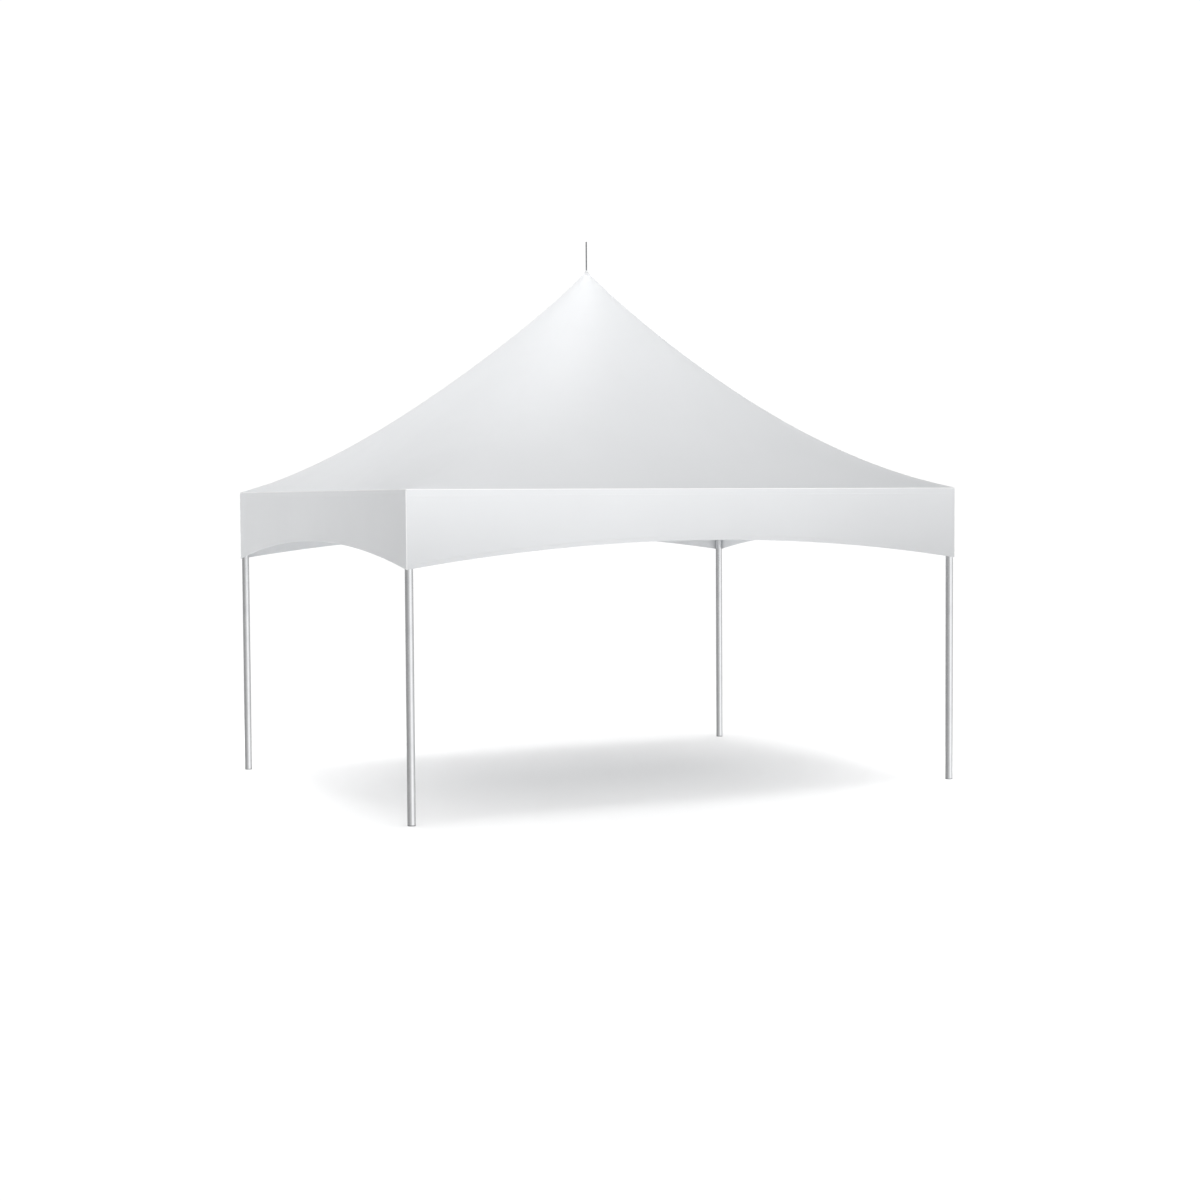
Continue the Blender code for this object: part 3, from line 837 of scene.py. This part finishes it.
def make_hem():
    """The folded hem along the arched lower edge, and its line of stitches."""
    columns = canopy_columns()
    inside = -CLOTH - PATCH_LIFT
    outline = [
        (PATCH_LIFT / 3, HEM_WIDTH),
        (PATCH_LIFT, HEM_WIDTH - HEM_EDGE),
        (PATCH_LIFT, 0.0),
        (0.0, -PATCH_LIFT),
        (-CLOTH, -PATCH_LIFT),
        (inside, 0.0),
        (inside, HEM_WIDTH - HEM_EDGE),
        (-CLOTH - PATCH_LIFT / 3, HEM_WIDTH),
    ]
    points = []
    for out, height in outline:
        for outward, across in columns:
            lower = edge_point(outward, across, hem_height(across) + height)
            points.append(lower + edge_normal(outward, across) * out)
    faces = loop_faces(len(outline), len(columns), wrap_rows=True)
    mesh = mesh_of("valance_hem", points, faces, CLOTH_SMOOTH)
    layer = mesh.uv_layers.new(name="cloth")
    for loop in mesh.loops:
        place = mesh.vertices[loop.vertex_index].co
        layer.data[loop.index].uv = (place.x + place.y, place.z)
    hem = link_piece("valance_hem", mesh, SEAM_FABRIC)
    stitches = Bodies()
    for outward in SIDES.values():
        half_along = half_sizes(outward)[1]
        count = int((2 * half_along - STITCH_END_ROOM) / STITCH_PITCH)
        for i in range(count):
            middle = (i - (count - 1) / 2) * STITCH_PITCH
            ends = [(middle + side * STITCH_LENGTH / 2) / half_along for side in (-1, 1)]
            low, high = (edge_point(outward, end, hem_height(end) + STITCH_HEIGHT) for end in ends)
            stitches.ribbon(
                [low, low + (high - low) / 2, high],
                outward,
                2 * (CLOTH / 2 + PATCH_LIFT + STITCH_PROUD),
                STITCH_WIDTH,
                shift=-outward * CLOTH / 2,
            )
    return [hem, stitches.link("valance_stitches", THREAD, "canopy_fabric")]


# Details of the frame


def corner_place(hand, side, height):
    return Vector((hand * LEG_X, side * LEG_Y, height))


def inward(hand, side):
    return -corner_place(hand, side, 0.0).normalized()


# Profiles of small fixings as (radius, height), from the top down.
BOLT_HEAD = [(0.0052, 0.0056), (0.0072, 0.0050), (0.0075, 0.0044), (0.0075, 0.0016)]
WASHER = [(0.0098, 0.0018), (0.0104, 0.0014), (0.0104, -0.0010)]
BUTTON = [(0.0012, 0.0040), (0.0028, 0.0036), (0.0040, 0.0026), (0.0044, 0.0010), (0.0044, -0.0010)]
BUTTON_RIM = [(0.0054, 0.0005), (0.0058, 0.0002), (0.0058, -0.0010)]
NUT = [(0.0088, NUT_HEIGHT), (0.0104, NUT_HEIGHT - NUT_CHAMFER), (0.0104, NUT_CHAMFER), (0.0088, 0.0)]
HEXAGON = 6
WASHER_SIDES = 24
BUTTON_SIDES = 20


def make_fixings():
    """Bolts through the fittings' arms, and the spring buttons that lock the tubes onto them."""
    bolts, buttons = Bodies(), Bodies()

    def bolt(axis_point, out):
        matrix = along_z(axis_point + out * TUBE_RADIUS, out)
        bolts.turned(WASHER, WASHER_SIDES, matrix)
        bolts.turned(BOLT_HEAD, HEXAGON, matrix)

    def button(axis_point, out):
        matrix = along_z(axis_point + out * TUBE_RADIUS, out)
        buttons.turned(BUTTON_RIM, BUTTON_SIDES, matrix)
        buttons.turned(BUTTON, BUTTON_SIDES, matrix)

    down = Vector((0.0, 0.0, -1.0))
    for hand, side in CORNERS.values():
        centre = corner_place(hand, side, EAVE_TUBE)
        across = inward(hand, side).cross(down)
        for arm in (Vector((-hand, 0.0, 0.0)), Vector((0.0, -side, 0.0))):
            bolt(centre + arm * BOLT_REACH, down)
            button(centre + arm * BUTTON_REACH, down)
        bolt(centre + down * BOLT_REACH, across)
        bolt(centre + down * BOLT_REACH, -across)
        button(centre + down * BUTTON_REACH, across)
    for side in (-1, 1):
        for hand in (-1, 1):
            button(Vector((hand * SPLICE_BUTTON, side * LEG_Y, EAVE_TUBE)), down)
    for height in MAST_BUTTONS:
        button(Vector((0.0, 0.0, height)), Vector((1.0, 0.0, 0.0)))
        button(Vector((0.0, 0.0, height)), Vector((-1.0, 0.0, 0.0)))
    bolts.link("fitting_bolts", ZINC, "steel_hardware")
    buttons.link("lock_buttons", ZINC, "steel_hardware")


def make_ropes():
    """The strands laid round the core of each cable, and the lock nuts of its turnbuckle."""
    nuts = Bodies()
    for name, (hand, side) in CORNERS.items():
        hub = Vector((0.0, 0.0, HUB_PIN_HEIGHT)) - inward(hand, side) * HUB_PIN_REACH
        corner = corner_place(hand, side, CORNER_PIN_HEIGHT) + inward(hand, side) * CORNER_PIN_REACH
        along = (corner - hub).normalized()
        span = (corner - hub).length
        turn = along_z(hub, along)
        start, end = ROPE_START, span - ROPE_END
        count = round((end - start) / ROPE_STEP)
        strands = Bodies()
        for strand in range(ROPE_STRANDS):
            path, outs = [], []
            for i in range(count + 1):
                height = start + (end - start) * i / count
                angle = math.tau * (strand / ROPE_STRANDS + height / ROPE_LAY)
                out = turn.to_3x3() @ Vector((math.cos(angle), math.sin(angle), 0.0))
                path.append(hub + along * height + out * STRAND_REACH)
                outs.append(out)
            strands.swept(path, outs, STRAND_RADIUS, STRAND_SIDES)
        strands.link(f"rope_strands_{name}", ROPE, "wire_rope", ROUND_SMOOTH)
        for height in (span - BUCKLE_FAR - BUCKLE_LENGTH - NUT_HEIGHT, span - BUCKLE_FAR):
            nuts.turned(NUT, HEXAGON, turn @ Matrix.Translation((0.0, 0.0, height)))
    nuts.link("turnbuckle_nuts", ZINC, "steel_hardware")


def make_straps():
    """Webbing straps inside the eave, sewn to the roof, passed under the tube and sewn to the valance."""
    straps = Bodies()
    for outward in SIDES.values():
        half_out, half_along = half_sizes(outward)
        tube_out = half_out - FABRIC_OFFSET
        count = round(2 * (half_along - STRAP_END) / STRAP_SPACING)
        for i in range(count + 1):
            along = -half_along + STRAP_END + 2 * (half_along - STRAP_END) * i / count
            path = []
            for inset in STRAP_INSETS:
                edges = (along - STRAP_WIDTH / 2, along + STRAP_WIDTH / 2)
                roof = min(roof_height(outward, half_out - inset, edge) for edge in edges)
                path.append((half_out - inset, roof - CLOTH - STRAP_THICKNESS / 2 - STRAP_CLEARANCE))
            radius = TUBE_RADIUS + STRAP_THICKNESS / 2 + STRAP_TUBE_GAP
            for angle in range(*STRAP_WRAP):
                turn = math.radians(angle)
                path.append((tube_out + radius * math.cos(turn), EAVE_TUBE + radius * math.sin(turn)))
            inner = half_out - CLOTH - STRAP_THICKNESS / 2 - STRAP_VALANCE_GAP
            path += [(inner, EAVE_TUBE - drop) for drop in STRAP_DROPS]
            side = along_side(outward)
            line = [outward * out + side * along + Vector((0.0, 0.0, height)) for out, height in path]
            straps.ribbon(line, side, STRAP_WIDTH, STRAP_THICKNESS)
    straps.link("eave_straps", WEBBING, "canopy_fabric")


def dress_node(name, material, edge):
    """Gives a node of the frame its material, and breaks its edges."""
    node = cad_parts[name]
    mesh = node.data
    if "custom_normal" in mesh.attributes:
        mesh.attributes.remove(mesh.attributes["custom_normal"])
    mesh.materials.clear()
    mesh.materials.append(material)
    mesh.shade_smooth()
    weld = node.modifiers.new("weld", "WELD")
    weld.merge_threshold = WELD_DISTANCE
    bevel = node.modifiers.new("edges", "BEVEL")
    bevel.width = edge
    bevel.segments = EDGE_SEGMENTS
    bevel.limit_method = "ANGLE"
    bevel.angle_limit = math.radians(SMOOTH)
    bevel.harden_normals = True


# The material of each kind of node, and the width of its broken edges.
NODE_LOOKS = {
    "corner_fitting": (CAST, 0.0012),
    "eave_splice": (CAST, 0.0010),
    "mast_hub": (CAST, 0.0012),
    "mast_head": (CAST, 0.0010),
    "cable": (ROPE, 0.0004),
    "turnbuckle_jaw": (ZINC, 0.0006),
    "turnbuckle": (ZINC, 0.0010),
    "spire": (SPIRE, 0.0004),
    "foot_plug": (PLUG, 0.0008),
    "peak_cap": (CAP, 0.0006),
}


def dress_frame():
    """Dresses the nodes that are carried over. The others are replaced."""
    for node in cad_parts:
        for kind, (material, edge) in NODE_LOOKS.items():
            if node == kind or node.startswith(kind + "_"):
                dress_node(node, material, edge)
                break


# Stage, light and camera

FLOOR_SIZE = 90.0
FLOOR_TONE = 0.88
# Areas that light the object: name, place, aimed at, width, height, watts.
LIGHTS = (
    ("top", (0.0, 0.0, 10.0), (0.0, 0.0, 2.6), 5.0, 5.0, 390.0),
    ("back", (-2.0, 10.0, 5.0), (0.0, 0.0, 2.6), 4.0, 4.0, 388.0),
    ("back_right", (8.0, 8.0, 5.0), (0.0, 0.0, 2.6), 4.0, 4.0, 72.0),
    ("right", (9.0, -1.0, 4.0), (0.0, 0.0, 2.6), 3.0, 3.0, 245.0),
    ("high_left", (-5.0, 0.0, 6.0), (0.0, 0.0, 2.6), 2.0, 2.0, 80.0),
    ("left", (-6.0, 4.0, 2.5), (-2.47, 1.5, 2.3), 1.5, 1.5, 17.0),
    ("low_front", (-1.0, -5.5, 0.3), (-0.5, -1.86, 2.2), 1.5, 0.4, 56.0),
    ("near_corner", (-3.0, -3.2, 3.2), (-1.8, -1.86, 2.4), 1.0, 0.6, 3.3),
    ("peak", (-2.5, -2.5, 6.5), (0.0, 0.0, 3.8), 1.5, 1.5, 7.0),
)
# Soft light from the front on the object: place, degrees across, strength.
FRONT_SUN = ((0.0, -10.0, 3.6), 50.0, 0.955)
# Low areas that reach in under the roof from both sides, and light only the floor.
FLOOR_FILLS = (
    ("floor_fill_left", (-4.84, 2.607, 1.5), (0.0, 0.0, 0.0), 4.0, 0.3, 107.0),
    ("floor_fill_right", (6.16, -3.318, 2.0), (0.0, 0.0, 0.0), 4.0, 0.3, 89.0),
    ("floor_fill_near", (2.992, -1.612, 0.6), (0.0, 0.0, 0.0), 4.0, 0.3, 7.7),
)
# Light straight down onto the floor alone: degrees across, strength.
FLOOR_SUNS = ((20.0, 0.546), (90.0, 1.283), (178.0, 1.839))
FLOOR_SUN_PLACE = (0.0, 0.0, 8.0)
# The background that the camera sees, and the room that only shows in gloss. Each lobe has its
# direction, the cosine where it starts, the cosine of its full strength, and its strength.
SEEN_WHITE = 1.05
GLOSS_BASE = 0.38
GLOSS_LOBES = (
    ((0.291, -0.957, 0.0), 0.76, 0.96, 0.45),
    ((0.373, -0.928, 0.0), -0.3, 1.0, 0.42),
)


def make_floor():
    mesh = bpy.data.meshes.new("floor")
    half = FLOOR_SIZE / 2
    corners = [(-half, -half, 0.0), (half, -half, 0.0), (half, half, 0.0), (-half, half, 0.0)]
    mesh.from_pydata(corners, [], [(0, 1, 2, 3)])
    material = new_material("pale_floor", (FLOOR_TONE,) * 3, 1.0, Specular_IOR_Level=0.0)[0]
    mesh.materials.append(material)
    floor = bpy.data.objects.new("floor", mesh)
    bpy.context.scene.collection.objects.link(floor)
    floor.visible_glossy = False
    return floor


def add_light(name, kind, place, target, power):
    lamp = bpy.data.lights.new(name, kind)
    lamp.energy = power
    light = bpy.data.objects.new(name, lamp)
    light.location = place
    light.rotation_mode = "QUATERNION"
    light.rotation_quaternion = (Vector(target) - Vector(place)).to_track_quat("-Z", "Y")
    light.visible_camera = False
    light.visible_glossy = False
    bpy.context.scene.collection.objects.link(light)
    return light


def collection_of(name, obj, state="INCLUDE"):
    """A collection for light linking, which takes in only this object or leaves it out."""
    linked = bpy.data.collections.new(name)
    linked.objects.link(obj)
    linked.collection_objects[0].light_linking.link_state = state
    return linked


def add_area(name, place, target, width, height, watts, receivers):
    light = add_light(name, "AREA", place, target, watts)
    light.data.shape = "RECTANGLE"
    light.data.size = width
    light.data.size_y = height
    light.light_linking.receiver_collection = receivers
    return light


def add_sun(name, place, angle, strength, receivers):
    sun = add_light(name, "SUN", place, (0.0, 0.0, 0.0), strength)
    sun.data.angle = math.radians(angle)
    sun.light_linking.receiver_collection = receivers


def make_lights(floor, canopy):
    """The object and the floor have their own lights, so the floor stays white round the soft shadow."""
    floor_only = collection_of("floor_only", floor)
    all_but_floor = collection_of("all_but_floor", floor, "EXCLUDE")
    canopy_only = collection_of("canopy_only", canopy)
    for settings in LIGHTS:
        add_area(*settings, all_but_floor)
    for settings in FLOOR_FILLS:
        add_area(*settings, floor_only).light_linking.blocker_collection = canopy_only
    add_sun("front", *FRONT_SUN, all_but_floor)
    for angle, strength in FLOOR_SUNS:
        add_sun(f"floor_{angle:.0f}", FLOOR_SUN_PLACE, angle, strength, floor_only)


def make_world():
    """White to the camera, and a grey room with a bright side for gloss. Lamps give all other light."""
    world = bpy.data.worlds.new("studio")
    bpy.context.scene.world = world
    world.use_nodes = True
    tree = world.node_tree
    tree.nodes.clear()
    path = add_node(tree, "ShaderNodeLightPath").outputs
    direction = add_node(tree, "ShaderNodeTexCoord").outputs["Generated"]
    level = GLOSS_BASE
    dot = {"operation": "DOT_PRODUCT"}
    for towards, start, end, strength in GLOSS_LOBES:
        facing = add_node(tree, "ShaderNodeVectorMath", dot, i0=direction, i1=towards).outputs["Value"]
        level = math_node(tree, "ADD", ranged(tree, facing, start, end, 0.0, strength), level)
    reflected = math_node(tree, "MULTIPLY", level, path["Is Glossy Ray"])
    white = (1.0, 1.0, 1.0, 1.0)
    gloss = add_node(tree, "ShaderNodeBackground", None, Color=white, Strength=reflected).outputs[0]
    seen = add_node(tree, "ShaderNodeBackground", None, Color=white, Strength=SEEN_WHITE).outputs[0]
    whole = add_node(tree, "ShaderNodeMixShader", None, i0=path["Is Camera Ray"], i1=gloss, i2=seen)
    add_node(tree, "ShaderNodeOutputWorld", None, Surface=whole.outputs[0])


# The camera of the photo: its place, its turn in degrees, and its focal length in pixels of the frame.
CAMERA_PLACE = (-8.214, -15.45, 2.342)
CAMERA_YAW = -28.318
CAMERA_PITCH = -2.757
CAMERA_ROLL = -0.359
FOCAL_PIXELS = 2042.1
FRAME_PIXELS = 1200.0
SENSOR = 36.0
CLIP_END = 300.0


def make_camera():
    yaw, pitch, roll = (math.radians(a) for a in (CAMERA_YAW, CAMERA_PITCH, CAMERA_ROLL))
    forward = Vector((-math.sin(yaw) * math.cos(pitch), math.cos(yaw) * math.cos(pitch), math.sin(pitch)))
    level = Vector((math.cos(yaw), math.sin(yaw), 0.0))
    upright = level.cross(forward)
    right = level * math.cos(roll) + upright * math.sin(roll)
    up = upright * math.cos(roll) - level * math.sin(roll)
    camera = bpy.data.objects.new("camera", bpy.data.cameras.new("camera"))
    camera.data.sensor_width = SENSOR
    camera.data.lens = FOCAL_PIXELS / FRAME_PIXELS * SENSOR
    camera.data.clip_end = CLIP_END
    turn = Matrix((right, up, -forward)).transposed().to_4x4()
    camera.matrix_world = Matrix.Translation(CAMERA_PLACE) @ turn
    bpy.context.scene.collection.objects.link(camera)
    bpy.context.scene.camera = camera


dress_frame()
make_tubes()
canopy = make_canopy()
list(make_hip_seams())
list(make_eave_band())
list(make_corner_patches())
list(make_peak_patch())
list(make_piping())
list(make_hem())
make_straps()
make_fixings()
make_ropes()
make_lights(make_floor(), canopy)
make_world()
make_camera()
bpy.context.scene.view_settings.view_transform = "Standard"
